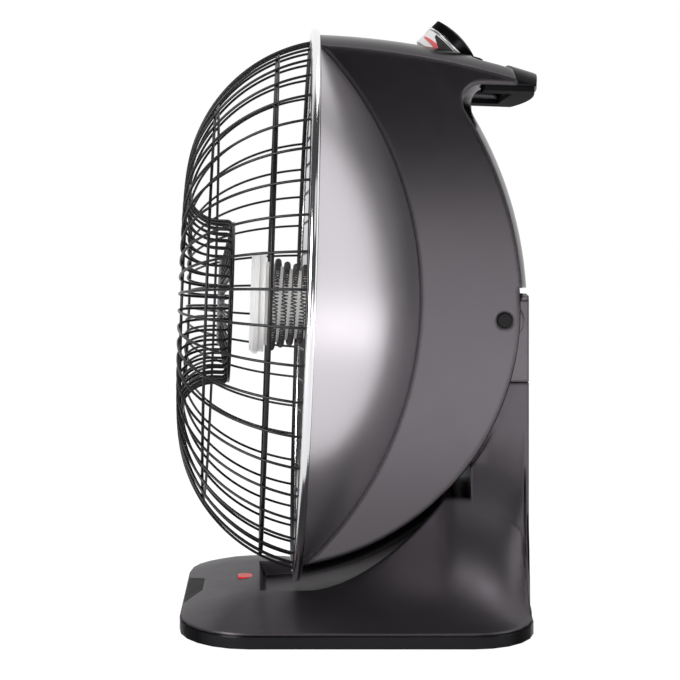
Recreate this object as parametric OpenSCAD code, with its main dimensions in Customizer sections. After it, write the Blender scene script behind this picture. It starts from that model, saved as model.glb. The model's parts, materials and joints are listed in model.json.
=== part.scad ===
// Parabolic dish heater on a tilting stand.
// Millimetres, +Z up, the dish faces -Y, X is across. The origin lies on the floor,
// below the middle of the whole heater.

/* [Stance] */
// Backward lean of the dish on its lower stop, in degrees
rest_tilt = 2; // [1:0.1:3]
// From the back of the dish shell to the pivot
pivot_behind = 51.8; // [50:0.1:54]
// Drop of the pivot below the axis of the dish
pivot_drop = 5.3; // [4:0.1:7]

/* [Dish] */
// How far the chrome ring stands out beyond the mouth of the shell
ring_lip = 5.3; // [4:0.1:7]
// Depth of the chrome ring along the axis
ring_depth = 6.4; // [5:0.1:8]
// Radial width of the chrome ring
ring_band = 8; // [7:0.1:9]
// Radius of the ball that the dish shell is cut from
shell_r = 280; // [278:0.5:284]
// Radius of the shell where it meets the ring
shell_mouth_r = 206; // [205:0.1:207]
// Wall of the dish shell
shell_wall = 1.6; // [1.2:0.1:2]
// Air gap behind the middle of the reflector
reflector_gap = 4; // [3:0.1:8]
// Wall of the reflector
reflector_wall = 0.8; // [0.6:0.1:1]
// Width of the flat rim of the reflector
reflector_flange = 3; // [2:0.1:4]

/* [Guard] */
// Number of wires in the guard
wires = 48; // [36:4:52]
// Diameter of a guard wire
wire_d = 2; // [1.6:0.1:2.2]
// Diameter of the outer and middle hoops
hoop_d = 3.2; // [2.6:0.1:3.4]
// Diameter of the thin hoops
thin_hoop_d = 2.2; // [1.8:0.1:2.6]
// From the mouth of the dish forward to the front of the guard
guard_front = 93.7; // [90:0.1:96]
// Radius of the bend from the front round to the ring
guard_bend_r = 115; // [112:0.5:116]
// How far the wires' ends lie inside the middle of the outer hoop
wire_meet = 0.4; // [0:0.1:0.6]
// Angle up the bend of the middle hoop
hoop_low_angle = 25.8; // [20:0.1:30]
// Angle up the bend of the thin hoop
hoop_high_angle = 56; // [50:0.1:62]
// Radius of the bend into the sunk middle
well_bend_r = 26; // [24:0.5:28]
// From the mouth of the dish forward to the floor of the sunk middle
well_floor = 57; // [54:0.5:60]
// Radius of the plate in the middle of the guard
badge_r = 33; // [30:0.5:36]
// Thickness of that plate
badge_t = 4.6; // [4:0.2:6]
// From the mouth of the dish forward to the middle of the plate
badge_front = 64.6; // [62:0.2:68]
// How deep a welded wire sinks into the next
weld = 0.3; // [0.2:0.05:0.4]

/* [Element] */
// Radius of the cap in front of the coil
cap_r = 38.9; // [36:0.1:42]
// Front face of the cap, forward of the mouth
cap_front = 42.1; // [40:0.1:44]
// Thickness of the bright front of the cap
cap_disc_t = 6.5; // [5:0.1:7]
// Thickness of the rim behind it
cap_rim_t = 4.8; // [4:0.1:6]
// Diameter of the coiled strand
strand_d = 4.5; // [4:0.1:5]
// Turns of the strand on the former
coil_turns = 11; // [8:1:12]
// Spacing of the turns
coil_pitch = 7; // [6.6:0.1:7.4]
// Radius of the middle turns, to the strand's centre
coil_r = 28.6; // [27:0.1:30]
// Extra radius of the foremost turn
coil_flare = 6; // [4:0.1:7]
// Foremost turn, forward of the mouth
coil_front = 26.8; // [26:0.1:28]
// Radius of the holder behind the former
holder_r = 16; // [13:0.5:18]
// Gap between the strand and the former
coil_seat = 0.35; // [0.3:0.05:0.5]

/* [Housing] */
// Distance of each cheek's outer face from the middle
cheek_x = 78; // [77:0.1:80]
// Wall of the housing
housing_wall = 3; // [2.5:0.1:3.2]
// From the pivot back to the rearmost point of the ball that shapes the spine
spine_over = 23.6; // [22:0.1:25]
// From the pivot forward to that ball, at the underside of the arms
neck_ahead = 35.5; // [33:0.1:38]
// Centre of that ball, below the axis
spine_low = 8; // [6:0.5:10]
// How far the belly lies inside the ring's edge, at the mouth
belly_step = 4.7; // [4:0.1:6]
// Centre of the ball that shapes the belly, in front of the mouth
belly_front = 34; // [33:0.5:35]
// Centre of that ball, below the axis
belly_low = 4; // [3:0.5:5]
// How far the top line lies inside the ring's edge, at the mouth
crown_step = 4.3; // [3:0.1:6]
// Radius of the top line seen from the side
crown_r = 610; // [560:5:700]
// Height of the lip of the spine over the top of the tower
lip_gap = 4.6; // [4.3:0.1:6]
// From the front of the tower forward to the open part between the cheeks
open_lead = 16.4; // [10:0.1:18]

/* [Handle] */
// From the pivot back to the joint between arms and grip
grip_joint = 2.6; // [1:0.1:5]
// Length of the grip from the joint to its end
grip_len = 20.7; // [19:0.1:23]
// Height of the end of the grip
grip_t = 15.7; // [14:0.1:18]
// Thickness of the cover under the handle
handle_cover_t = 4; // [3:0.1:5]
// Radius that the end of the grip is curved to in plan
grip_plan_r = 498; // [400:2:700]
// Fillet between the spine and the underside of the arms
neck_r = 13; // [11:0.5:15]
// Half width of the finger gap
gap_half = 48; // [44:0.5:52]
// Length of the finger gap from the grip forward
gap_len = 30; // [27:0.5:32]
// Corner radius of the finger gap
gap_corner = 7; // [4:0.5:9]

/* [Dial] */
// From the pivot forward to the foot of the dial
dial_ahead = 51.8; // [50:0.1:54]
// Depth of the foot of the dial below the top line over it
dial_sink = 8.2; // [7:0.1:10]
// Slope of the dial's axis, in degrees from level
dial_slope = 47; // [45:0.5:49]
// Radius of the scale ring
scale_r = 20; // [19:0.1:21]
// Height of the scale ring
scale_h = 13.2; // [12:0.1:14]
// Gap between the scale ring and the knob
dial_gap = 0.4; // [0.3:0.05:0.6]
// Thickness of the chrome line under the cap
trim_t = 1.5; // [1:0.1:2]
// Height of the cap's straight side
knob_side = 7.3; // [6:0.1:8]
// Height of the cap's dome
knob_dome = 3.5; // [2.5:0.1:4.5]
// Clearance of the dial in its well
well_clear = 3; // [2.5:0.1:3.5]
// Wall of the cup round the dial
dial_cup_wall = 3; // [2:0.1:3.5]
// Radius of the knob's shaft
shaft_r = 3; // [2.5:0.1:4]
// Running clearance of shafts and pins
run_clear = 0.06; // [0.03:0.01:0.09]

/* [Pivot] */
// Radius of the pivot pins
pin_r = 5; // [4:0.1:5.5]
// Radius of the caps on the pins
pin_cap_r = 5.9; // [5.7:0.1:8]
// Thickness of those caps
pin_cap_t = 1.8; // [1:0.1:2.5]
// Radius of the friction washers
washer_r = 15; // [12:0.5:18]
// Gap between parts that swing past each other
swing_gap = 0.3; // [0.25:0.05:0.5]

/* [Stand] */
// Gap between the tower's side and the inside of the cheek
tower_gap = 3; // [2.5:0.1:4]
// Height of the top of the tower over the pivot
tower_over = 19.6; // [18:0.1:20]
// Drop of the seam across the tower below the pivot
seam_drop = 46.1; // [36:0.5:60]
// Depth of the shadow line round the seam
seam_groove = 0.8; // [0.4:0.1:1.2]
// Bevel along the rear top edge of the tower
tower_bevel = 4.5; // [3.5:0.1:6]
// Bevel along the side top edges of the tower
tower_end_bevel = 5; // [4:0.1:7]
// From the pivot forward to the front of the tower
tower_front = 25; // [22:0.5:27]
// From the pivot back to the rear of the tower
tower_back = 21.5; // [20:0.1:22.5]
// Radius that the rear of the tower is curved to in plan
tower_plan_r = 870; // [800:10:1200]
// Wall of the stand
stand_wall = 3; // [2.5:0.1:4]
// Half width of the base
base_half = 202; // [195:1:215]
// How far the base stops short of the front of the guard
base_short = 1.6; // [0:0.1:4]
// From the pivot back to the rear of the base
base_back = 23; // [22.6:0.1:26]
// Bulge of the rear edge of the base
base_bulge = 7.5; // [5:0.5:10]
// Half width of the straight front edge
base_straight = 114; // [105:1:125]
// Depth of the rounded corners
base_corner = 50; // [40:1:60]
// How far the shell is set in from the tray's edge
shell_inset = 1.2; // [0.8:0.1:2]
// Height of the base at its edge
edge_h = 11.4; // [11:0.1:13]
// Height of the flat deck
deck_h = 23.6; // [22:0.1:25]
// Height of the saddle's shoulder beside the tower
shoulder_h = 92; // [88:0.5:96]
// Length over which the saddle's edge rises
saddle_run = 111.6; // [105:0.1:116]
// Height that it would rise by over that length
saddle_rise = 81; // [76:0.5:86]
// How sharply it turns up
saddle_power = 1.8; // [1.5:0.05:2.2]
// Gap between the cheek and the side of the pocket that the dish hangs in
pocket_side = 4; // [3:0.1:6]
// From the mouth of the dish forward to the front wall of the pocket
pocket_lead = 35; // [32:0.1:40]
// Height of the lowest point of the pocket's floor
pocket_floor = 12; // [11.5:0.1:16]
// Slope of the front wall of the pocket, along the base
pocket_slope = 6; // [3:0.5:8]
// Gap between the belly and the floor of the pocket
pocket_gap = 11.6; // [10.5:0.1:12]
// Gap between the edge of the cheeks and the tower's foot
cheek_gap = 3; // [2.5:0.1:4]

/* [Tray] */
// Height of the top of the tray
tray_h = 10; // [9:0.1:11]
// Height of the feet
foot_h = 1.2; // [1:0.1:2]
// Radius of the feet
foot_r = 10; // [8:0.5:12]
// Floor and wall of the tray
tray_wall = 2.4; // [2:0.1:3]
// From the rim of the base in to the feet
foot_inset = 54; // [45:1:60]
// Distance of the screws from the front feet
screw_front = 32; // [28:1:40]
// Distance of the screws from the rear feet
screw_rear = 34; // [28:1:40]
// Radius of a screw's head
screw_r = 3.6; // [3:0.1:4]
// Radius of a screw's shank
shank_r = 1.8; // [1.5:0.1:2.2]
// Length of a screw under its head
screw_len = 14; // [12:0.5:18]
// Radius of the bosses that the screws join
boss_r = 6; // [5.5:0.1:8]
// Distance of the tip switch from the side of the base
switch_inset = 82; // [72:1:92]
// From the pivot forward to the tip switch
switch_front = 60; // [50:1:80]
// Width of the tip switch
switch_w = 18; // [16:0.5:22]
// Distance of the ballast plates from the side of the base
ballast_inset = 36; // [30:1:46]
// Width of the ballast plates
ballast_w = 70; // [50:1:80]
// Thickness of the ballast plates
ballast_t = 4; // [3:0.1:5]
// Radius of the tip switch plunger
plunger_r = 4; // [3:0.1:5]
// Travel of the plunger
plunger_travel = 4; // [3:0.5:5]

/* [Lens and inlay] */
// Width of the red lens across the base
lens_w = 24; // [20:0.5:28]
// Width of the lens from front to back
lens_d = 11; // [9:0.5:13]
// From the pocket forward to the middle of the lens
lens_lead = 10.8; // [9:0.1:14]
// Half width of the inlay at the front edge
inlay_half = 66; // [60:1:72]
// Half width of the inlay at its back edge
inlay_back_half = 31; // [26:1:40]
// Length of the inlay from front to back
inlay_len = 14; // [11:0.5:16]
// Thickness of the inlay
inlay_t = 1.2; // [0.8:0.1:1.3]
// Radius of the hole in the cord inlet
inlet_r = 4; // [3:0.1:5]
// Distance of the cord inlet from the middle
inlet_x = 40; // [20:1:60]
// Height of the cord inlet
inlet_z = 26; // [22:0.5:40]

/* [Hidden] */
$fn = 72;

// --- Places worked out from the sizes above ---
eps = 0.01;
big = 600;
wire_r = wire_d / 2;
bend_u = guard_front - guard_bend_r;
ring_r = shell_mouth_r + ring_lip;
ring_in = ring_r - ring_band;
ball_y = ring_depth / 2 - sqrt(shell_r * shell_r - shell_mouth_r * shell_mouth_r);
shell_deep = ball_y + shell_r;
pivot_back = shell_deep + pivot_behind;
reflector_r = ring_in - reflector_flange;
reflector_deep = shell_deep - shell_wall - reflector_gap - reflector_wall;
hoop_u = reflector_wall + hoop_d / 2;
hoop_ring_r = ring_in - hoop_d / 2 - wire_meet;
wire_end_angle = asin((hoop_u + hoop_d / 2 - 2 * weld - bend_u) / guard_bend_r);
guard_bend_at = hoop_ring_r - wire_meet - guard_bend_r * cos(wire_end_angle);
well_r = guard_bend_at - well_bend_r;
floor_slope = atan((badge_front - well_floor) / (well_r - badge_r));
crown_h = ring_r - crown_step;
// Height of the top line at the distance y behind the mouth
function crown_at(y) = crown_h - crown_r + sqrt(crown_r * crown_r - y * y);
grip_front = pivot_back + grip_joint;
grip_back = grip_front + grip_len;
arm_low = crown_at(grip_back) - grip_t;
spine_bow = spine_over + neck_ahead;
spine_r = (pow(arm_low + spine_low, 2) + spine_bow * spine_bow) / (2 * spine_bow);
spine_front = spine_r - pivot_back - spine_over;
dial_back = pivot_back - dial_ahead;
belly_r = norm([belly_front, ring_r - belly_step - belly_low]);
lip_h = tower_over - pivot_drop + lip_gap;
// Half width of the open part between the cheeks
open_x = cheek_x - housing_wall + 0.1;
tower_x = cheek_x - housing_wall - tower_gap;
// Middle of the belly's arc from the pivot, seen from the side, with the head on its stop
belly_y = (-belly_front - pivot_back) * cos(rest_tilt) + (pivot_drop - belly_low) * sin(rest_tilt);
belly_z = (belly_front + pivot_back) * sin(rest_tilt) + (pivot_drop - belly_low) * cos(rest_tilt);
cheek_arc = sqrt(belly_r * belly_r - cheek_x * cheek_x);
pivot_h = pocket_floor + pocket_gap + belly_r - belly_z;
tower_h = pivot_h + tower_over;
tower_seam = pivot_h - seam_drop;
pocket_half = cheek_x + pocket_side;
pocket_front = pivot_back + pocket_lead;
base_front = pivot_back + guard_front - base_short;
// The lowest stretch of the guard's bend is the foremost thing, the grip the rearmost
guard_reach = (pivot_back + bend_u) * cos(rest_tilt)
    + (guard_bend_at - pivot_drop) * sin(rest_tilt) + guard_bend_r + wire_r;
grip_reach = (grip_back - pivot_back) * cos(rest_tilt) + (arm_low + pivot_drop) * sin(rest_tilt);
pivot_y = (guard_reach - grip_reach) / 2;
echo(pivot = [0, pivot_y, pivot_h]);

// The head's own frame has its origin in the middle of the dish's mouth
module head_frame() {
    translate([0, pivot_y, pivot_h]) rotate([-rest_tilt, 0, 0])
        translate([0, -pivot_back, pivot_drop]) children();
}
module pivot_frame() {
    translate([0, pivot_y, pivot_h]) children();
}
// Stands a revolved part on the dish's axis, its +Z turned to the rear
module along_axis() {
    rotate([-90, 0, 0]) children();
}
module dial_frame() {
    translate([0, dial_back, crown_at(dial_back) - dial_sink]) rotate([dial_slope - 90, 0, 0]) children();
}
module across(half) {
    rotate([0, 90, 0]) rotate([0, 0, 90]) translate([0, 0, -half])
        linear_extrude(2 * half) children();
}
module slab(half) {
    translate([-half, -big, -big]) cube([2 * half, 2 * big, 2 * big]);
}
module ring(r_out, r_in, h) {
    difference() {
        cylinder(r = r_out, h = h);
        translate([0, 0, -1]) cylinder(r = r_in, h = h + 2);
    }
}
module tube_arc(r, wire, from, sweep) {
    rotate_extrude(angle = sweep, start = from) translate([r, 0]) circle(wire, $fn = 24);
}
module hoop(r, u, d) {
    along_axis() translate([0, 0, -u]) rotate_extrude($fn = 144) translate([r, 0])
        circle(d / 2, $fn = 24);
}

// --- Guard ---
// Turns the XY plane into the plane of one wire: X outward, Y toward the front
module each_wire() {
    for (i = [0 : wires - 1])
        rotate([0, -(i + 0.5) * 360 / wires, 0]) rotate([180, 0, 0]) children();
}
module guard_spokes() {
    color("dimgray") head_frame() each_wire()
        translate([guard_bend_at, bend_u, 0])
            tube_arc(guard_bend_r, wire_r, wire_end_angle, 90 - wire_end_angle);
}
module guard_hoops() {
    low = guard_bend_r - wire_r - hoop_d / 2 + weld;
    high = guard_bend_r - wire_r - thin_hoop_d / 2 + weld;
    color("dimgray") head_frame() {
        hoop(hoop_ring_r, hoop_u, hoop_d);
        hoop(guard_bend_at + low * cos(hoop_low_angle), bend_u + low * sin(hoop_low_angle), hoop_d);
        hoop(guard_bend_at + high * cos(hoop_high_angle),
            bend_u + high * sin(hoop_high_angle), thin_hoop_d);
        hoop(guard_bend_at, guard_front - wire_r - thin_hoop_d / 2 + weld, thin_hoop_d);
    }
}
module guard_well_wires() {
    color("dimgray") head_frame() each_wire() {
        translate([guard_bend_at, guard_front - well_bend_r, 0])
            tube_arc(well_bend_r, wire_r, 90, 90);
        translate([well_r, well_floor - wire_r, 0]) rotate([-90, 0, 0])
            cylinder(r = wire_r, h = guard_front - well_bend_r - well_floor + wire_r, $fn = 24);
    }
}
module guard_floor_wires() {
    start_r = well_r - wire_r + weld;
    color("dimgray") head_frame() each_wire()
        translate([start_r, well_floor, 0]) rotate([0, 0, -floor_slope]) rotate([0, -90, 0])
            cylinder(r = wire_r, h = (start_r - badge_r + 2) / cos(floor_slope), $fn = 24);
}
module guard_well_ring() {
    color("dimgray") head_frame()
        hoop(well_r - wire_r - thin_hoop_d / 2 + weld, well_floor + wire_d + thin_hoop_d, thin_hoop_d);
}
module guard_plate() {
    edge = 1;
    color([0.12, 0.12, 0.13]) head_frame() along_axis()
        translate([0, 0, -badge_front - badge_t / 2]) rotate_extrude($fn = 96)
            polygon([[0, 0], [badge_r - edge, 0], [badge_r, edge], [badge_r, badge_t - edge],
                [badge_r - edge, badge_t], [0, badge_t]]);
}

// --- Dish ---
module bezel_ring() {
    half = ring_depth / 2;
    soft = 2;
    color("silver") head_frame() along_axis() rotate_extrude($fn = 180)
        difference() {
            union() {
                translate([ring_in, -half]) square([ring_band - soft, ring_depth]);
                translate([ring_in, -half + soft]) square([ring_band, ring_depth - 2 * soft]);
                translate([ring_r - soft, half - soft]) circle(soft);
                translate([ring_r - soft, soft - half]) circle(soft);
            }
            translate([ring_in - 1, -half - 1]) square([2, 1 + eps]);
        }
}
// The reflector is a paraboloid
function bowl(r) = reflector_deep * (1 - pow(r / reflector_r, 2));
module reflector() {
    steps = 20;
    face = [for (i = [0 : steps]) let (r = holder_r + (reflector_r - holder_r) * i / steps)
        [r, bowl(r)]];
    back = [for (i = [steps : -1 : 0]) let (r = holder_r + (reflector_r - holder_r) * i / steps)
        [r, bowl(r) + reflector_wall]];
    color("gainsboro") head_frame() along_axis() rotate_extrude($fn = 180) {
        polygon(concat(face, back));
        translate([reflector_r, -reflector_wall])
            square([reflector_flange, 2 * reflector_wall]);
    }
}
module dish_ball(r) {
    translate([0, ball_y, 0]) along_axis() sphere(r, $fn = 240);
}
module dish_shell() {
    color([0.62, 0.58, 0.62]) head_frame() difference() {
        intersection() {
            dish_ball(shell_r);
            along_axis() translate([0, 0, ring_depth / 2]) cylinder(r = big, h = big);
        }
        dish_ball(shell_r - shell_wall);
        along_axis() cylinder(r = holder_r, h = big);
    }
}

// --- Element ---
former_back = coil_front - coil_turns * coil_pitch - coil_pitch;
// Radius of the strand's centre at the distance u in front of the mouth
function coil_at(u) = coil_r + (u > 0 ? coil_flare * pow(u / coil_front, 2) : u * 0.05);
module element_cap() {
    rim_back = cap_front - cap_disc_t - cap_rim_t;
    color("whitesmoke") head_frame() along_axis() rotate_extrude($fn = 96) polygon([
        [0, -cap_front], [cap_r - 3, -cap_front], [cap_r, -cap_front + 3],
        [cap_r, -rim_back - cap_rim_t], [cap_r - 1.6, -rim_back - cap_rim_t],
        [cap_r - 1.6, -rim_back], [0, -rim_back]]);
}
module former_body() {
    cap_back = cap_front - cap_disc_t - cap_rim_t;
    steps = 14;
    gap = strand_d / 2 + coil_seat;
    wall = [for (i = [0 : steps])
        let (u = coil_front + (former_back - coil_front) * i / steps) [coil_at(u) - gap, -u]];
    along_axis() rotate_extrude($fn = 72)
        polygon(concat([[0, -cap_back], [coil_at(coil_front) - gap, -cap_back]], wall,
            [[0, -former_back]]));
}
module element_former() {
    color("ivory") head_frame() former_body();
}
// The strand's path: turns round the former, then a straight end along the tangent
coil_rings = 24;
strand_end = strand_d * 1.2;
function coil_point(t) = let (u = coil_front - t * coil_pitch, r = coil_at(u))
    [-r * cos(t * 360), -u, -r * sin(t * 360)];
function unit(v) = v / norm(v);
coil_mid = [for (i = [0 : coil_turns * coil_rings]) coil_point(i / coil_rings)];
coil_first = unit(coil_mid[0] - coil_mid[1]);
coil_last = unit(coil_mid[len(coil_mid) - 1] - coil_mid[len(coil_mid) - 2]);
coil_path = concat([coil_mid[0] + coil_first * strand_end], coil_mid,
    [coil_mid[len(coil_mid) - 1] + coil_last * strand_end]);
// The least gap of the strand to itself, half a turn or more further on
echo(coil_gap = min([for (i = [0 : len(coil_mid) - 1], j = [i + coil_rings / 2 : i + 2 * coil_rings])
    if (j < len(coil_mid)) norm(coil_mid[i] - coil_mid[j])]) - strand_d);
module sweep(path, r, sides) {
    n = len(path);
    axis = [0, 1, 0];
    points = [for (i = [0 : n - 1])
        let (run = unit(path[min(i + 1, n - 1)] - path[max(i - 1, 0)]),
            out = unit(cross(axis, run)), up = cross(run, out))
        for (k = [0 : sides - 1])
            path[i] + r * (out * cos(k * 360 / sides) + up * sin(k * 360 / sides))];
    walls = [for (i = [0 : n - 2], k = [0 : sides - 1])
        let (a = i * sides + k, b = i * sides + (k + 1) % sides)
        each [[a, b, a + sides], [b, b + sides, a + sides]]];
    caps = [[for (k = [sides - 1 : -1 : 0]) k],
        [for (k = [0 : sides - 1]) (n - 1) * sides + k]];
    polyhedron(points, concat(walls, caps), convexity = 12);
}
module element_coil() {
    color("silver") head_frame() sweep(coil_path, strand_d / 2, 6);
}
// A clamp block that the strand's end meets, seated on the former
module strand_clamp(p, run) {
    block = strand_d + 3;
    translate(p) rotate([0, -atan2(run[2], run[0]), 0])
        translate([0, -block / 2, -block / 2]) cube(block);
}
module element_terminals() {
    color("gold") head_frame() difference() {
        union() {
            strand_clamp(coil_path[0], coil_first);
            strand_clamp(coil_path[len(coil_path) - 1], coil_last);
        }
        former_body();
    }
}
module element_holder() {
    nut = 6;
    color("lightgray") head_frame() along_axis() translate([0, 0, -former_back])
        cylinder(r = holder_r, h = shell_deep + former_back + nut);
}
module thermal_cutout() {
    // A disc-shaped limiter whose flat back seats on the shell
    at = 60;
    seat_y = ball_y + sqrt(shell_r * shell_r - at * at);
    color("silver") head_frame() difference() {
        translate([0, seat_y - 4, at]) along_axis() cylinder(r = 9, h = 14);
        dish_ball(shell_r);
    }
}

// --- Housing ---
module spine_ball(inset) {
    translate([0, -spine_front, -spine_low]) sphere(spine_r - inset, $fn = 240);
}
module belly_ball(inset) {
    translate([0, -belly_front, -belly_low]) sphere(belly_r - inset, $fn = 240);
}
// Everything under the crowned top line, revolved round the dish's axis
module crown(inset) {
    along_axis() rotate_extrude($fn = 240) intersection() {
        translate([crown_h - crown_r, 0]) circle(crown_r - inset, $fn = 720);
        translate([0, -1]) square([crown_h + 1, 2 * grip_back]);
    }
}
module body_form(inset) {
    intersection() {
        slab(cheek_x - inset);
        crown(inset);
        union() {
            intersection() {
                spine_ball(inset);
                translate([-big, -big, lip_h]) cube(2 * big);
            }
            intersection() {
                belly_ball(inset);
                translate([-big, -big, lip_h - 2 * big]) cube(2 * big);
            }
        }
    }
}
// The fillet under the arms, revolved round the upright axis of the spine's ball
module neck_fillet() {
    mid_z = arm_low - neck_r + spine_low;
    mid_r = sqrt(pow(spine_r + neck_r, 2) - mid_z * mid_z);
    on_ball = spine_r / (spine_r + neck_r);
    inner = mid_r * on_ball - 16;
    translate([0, -spine_front, -spine_low]) intersection() {
        rotate_extrude($fn = 240) difference() {
            polygon([[inner, mid_z * on_ball], [mid_r * on_ball, mid_z * on_ball],
                [mid_r, mid_z], [mid_r, mid_z + neck_r], [inner, mid_z + neck_r]]);
            translate([mid_r, mid_z]) circle(neck_r);
        }
        slab(cheek_x);
        translate([-big, 0, -big]) cube(2 * big);
    }
}
module arms() {
    intersection() {
        slab(cheek_x);
        crown(0);
        translate([-big, grip_front / 2, arm_low]) cube([2 * big, grip_front / 2, big]);
    }
}
module finger_gap() {
    gap_front = grip_front - gap_len;
    translate([0, 0, arm_low - neck_r]) linear_extrude(big / 4) {
        translate([-gap_half, gap_front + gap_corner])
            square([2 * gap_half, gap_len]);
        translate([-gap_half + gap_corner, gap_front])
            square([2 * (gap_half - gap_corner), gap_corner + 1]);
        for (s = [-1, 1])
            translate([s * (gap_half - gap_corner), gap_front + gap_corner]) circle(gap_corner);
    }
}
cup_r = scale_r + well_clear + dial_cup_wall;
module dial_cup() {
    intersection() {
        dial_frame() translate([0, 0, -dial_cup_wall]) cylinder(r = cup_r, h = 60);
        crown(0);
    }
}
module housing() {
    color([0.27, 0.25, 0.27]) head_frame() difference() {
        union() {
            difference() {
                body_form(0);
                body_form(housing_wall);
            }
            difference() {
                union() {
                    arms();
                    neck_fillet();
                }
                spine_ball(housing_wall);
                finger_gap();
            }
            dial_cup();
        }
        dial_frame() cylinder(r = scale_r + well_clear, h = 60);
        dial_frame() translate([0, 0, -20]) cylinder(r = shaft_r + 1, h = 40);
        dish_ball(shell_r);
        // The open part between the cheeks, where the tower comes in
        translate([-open_x, pivot_back - tower_front - open_lead, -big])
            cube([2 * open_x, big, big + lip_h + swing_gap]);
        // The ring's rear face
        translate([-big, ring_depth / 2 - big, -big]) cube([2 * big, big, 2 * big]);
        translate([0, pivot_back, -pivot_drop]) rotate([0, 90, 0])
            cylinder(r = pin_r + run_clear, h = big, center = true);
    }
}
module grip_plan(inset) {
    intersection() {
        translate([0, grip_back - grip_plan_r]) circle(grip_plan_r - inset, $fn = 720);
        translate([-cheek_x + inset, 0]) square([2 * (cheek_x - inset), big]);
        translate([-big, grip_front]) square([2 * big, big]);
    }
}
module handle_grip() {
    color([0.06, 0.06, 0.07]) head_frame() difference() {
        intersection() {
            translate([0, 0, arm_low]) linear_extrude(big / 8) grip_plan(0);
            crown(0);
        }
        // The rear edge is bevelled
        translate([-big, grip_back - 3, arm_low + grip_t - 0.2]) rotate([-52, 0, 0])
            cube([2 * big, 20, 20]);
    }
}
module handle_cover() {
    color([0.04, 0.04, 0.05]) head_frame() difference() {
        translate([0, 0, arm_low - handle_cover_t]) linear_extrude(handle_cover_t) {
            grip_plan(1.5);
            for (s = [-1, 1])
                translate([s > 0 ? gap_half : 1.5 - cheek_x, grip_front - gap_len + gap_corner])
                    square([cheek_x - gap_half - 1.5, gap_len - gap_corner + 1]);
        }
        translate([0, -spine_front, -spine_low])
            translate([0, 0, arm_low - neck_r + spine_low])
                rotate_extrude($fn = 240) neck_cut();
    }
}
// The space that the fillet under the arms takes, seen from the side
module neck_cut() {
    mid_z = arm_low - neck_r + spine_low;
    mid_r = sqrt(pow(spine_r + neck_r, 2) - mid_z * mid_z);
    difference() {
        translate([0, -1]) square([mid_r, neck_r + 2]);
        translate([mid_r, 0]) circle(neck_r);
    }
}

// --- Dial ---
module dial_scale() {
    color("white") head_frame() dial_frame() difference() {
        cylinder(r = scale_r, h = scale_h);
        translate([0, 0, 2]) cylinder(r = scale_r - 3, h = scale_h);
        translate([0, 0, -1]) cylinder(r = shaft_r + 1, h = 5);
    }
}
module thermostat() {
    // The body hangs below the cup, its collar seated on the inside of the spine
    top = -dial_cup_wall - 7;
    color([0.5, 0.5, 0.52]) head_frame() difference() {
        union() {
            dial_frame() translate([-15, -13, top - 10]) cube([30, 26, 10]);
            intersection() {
                dial_frame() translate([0, 0, top - 1]) cylinder(r = 8, h = 20);
                spine_ball(housing_wall);
            }
        }
        dial_frame() translate([0, 0, top - 8]) cylinder(r = shaft_r + run_clear, h = 40);
    }
}
knob_foot = scale_h + dial_gap;
module knob_trim() {
    color("silver") head_frame() dial_frame() translate([0, 0, knob_foot])
        ring(scale_r + 0.4, shaft_r + 4, trim_t);
}
module thermostat_knob() {
    foot = knob_foot + trim_t;
    dome_r = (scale_r * scale_r + knob_dome * knob_dome) / (2 * knob_dome);
    color([0.08, 0.08, 0.09]) head_frame() dial_frame() {
        difference() {
            union() {
                translate([0, 0, foot]) cylinder(r = scale_r, h = knob_side);
                intersection() {
                    translate([0, 0, foot + knob_side + knob_dome - dome_r])
                        sphere(dome_r, $fn = 180);
                    translate([0, 0, foot + knob_side - eps])
                        cylinder(r = scale_r, h = knob_dome + 1);
                }
            }
            translate([0, 0, foot - 1]) cylinder(r = shaft_r, h = 7);
        }
        translate([0, 0, knob_foot]) ring(shaft_r + 4, shaft_r, trim_t);
    }
}
module knob_shaft() {
    color("silver") head_frame() dial_frame()
        translate([0, 0, -dial_cup_wall - 14]) cylinder(r = shaft_r,
            h = dial_cup_wall + 14 + knob_foot + trim_t + 6);
}

// --- Pivot ---
module both_sides() {
    for (s = [0, 1]) mirror([s, 0, 0]) children();
}
module pivot_pins() {
    color("silver") pivot_frame() both_sides() translate([tower_x - stand_wall - 6, 0, 0])
        rotate([0, 90, 0])
            cylinder(r = pin_r, h = cheek_x + swing_gap - tower_x + stand_wall + 6);
}
module pivot_caps() {
    soft = 0.7;
    color([0.05, 0.05, 0.05]) pivot_frame() both_sides()
        translate([cheek_x + swing_gap, 0, 0]) rotate([0, 90, 0]) rotate_extrude()
            polygon([[0, 0], [pin_cap_r, 0], [pin_cap_r, pin_cap_t - soft],
                [pin_cap_r - soft, pin_cap_t], [0, pin_cap_t]]);
}
module friction_washers() {
    color("tan") pivot_frame() both_sides() translate([tower_x, 0, 0]) rotate([0, 90, 0])
        ring(washer_r, pin_r, open_x - tower_x - swing_gap);
}

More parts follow.
